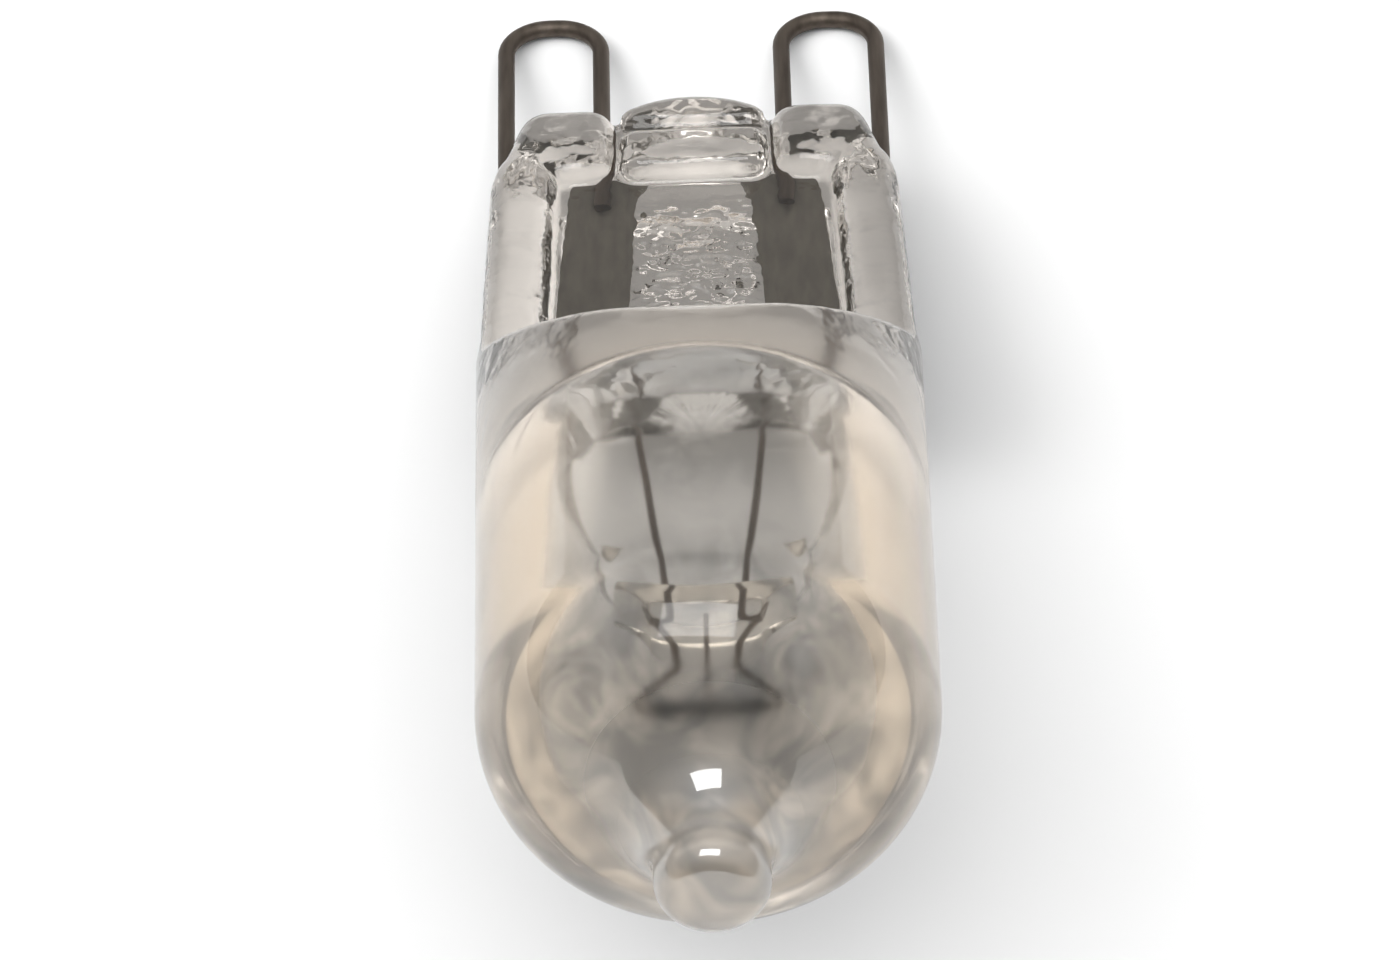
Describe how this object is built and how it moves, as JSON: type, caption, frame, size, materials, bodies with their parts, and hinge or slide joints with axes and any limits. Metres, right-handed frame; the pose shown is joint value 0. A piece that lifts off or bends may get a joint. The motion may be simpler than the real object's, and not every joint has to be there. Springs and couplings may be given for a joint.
{
  "type": "halogen capsule bulb",
  "caption": "Clear halogen capsule bulb with a flat pinched glass base, wire contact loops, sealing foils and a straight coiled filament held by a glass bridge.",
  "frame": {"origin": "on the bulb's axis, at the end of the glass pinch from which the contact loops stand out", "axes": "+Y out of the base along the contact loops, the bulb's tip towards -Y; +X across the pinch from the left loop to the right; +Z out of the pinch's upper flat face"},
  "size_m": [0.014, 0.0425, 0.014],
  "materials": {
    "quartz": "clear",
    "contact_wire": "dull",
    "foil": "satin",
    "lead_wire": "satin",
    "tungsten": "satin"
  },
  "bodies": {
    "root": {"glass_envelope": "quartz", "bead": "quartz", "contact_loop_left": "contact_wire", "contact_loop_right": "contact_wire", "foil_left": "foil", "foil_right": "foil", "lead_wire_left": "lead_wire", "lead_wire_right": "lead_wire", "filament": "tungsten", "support_wire": "lead_wire"}
  },
  "joints": []
}
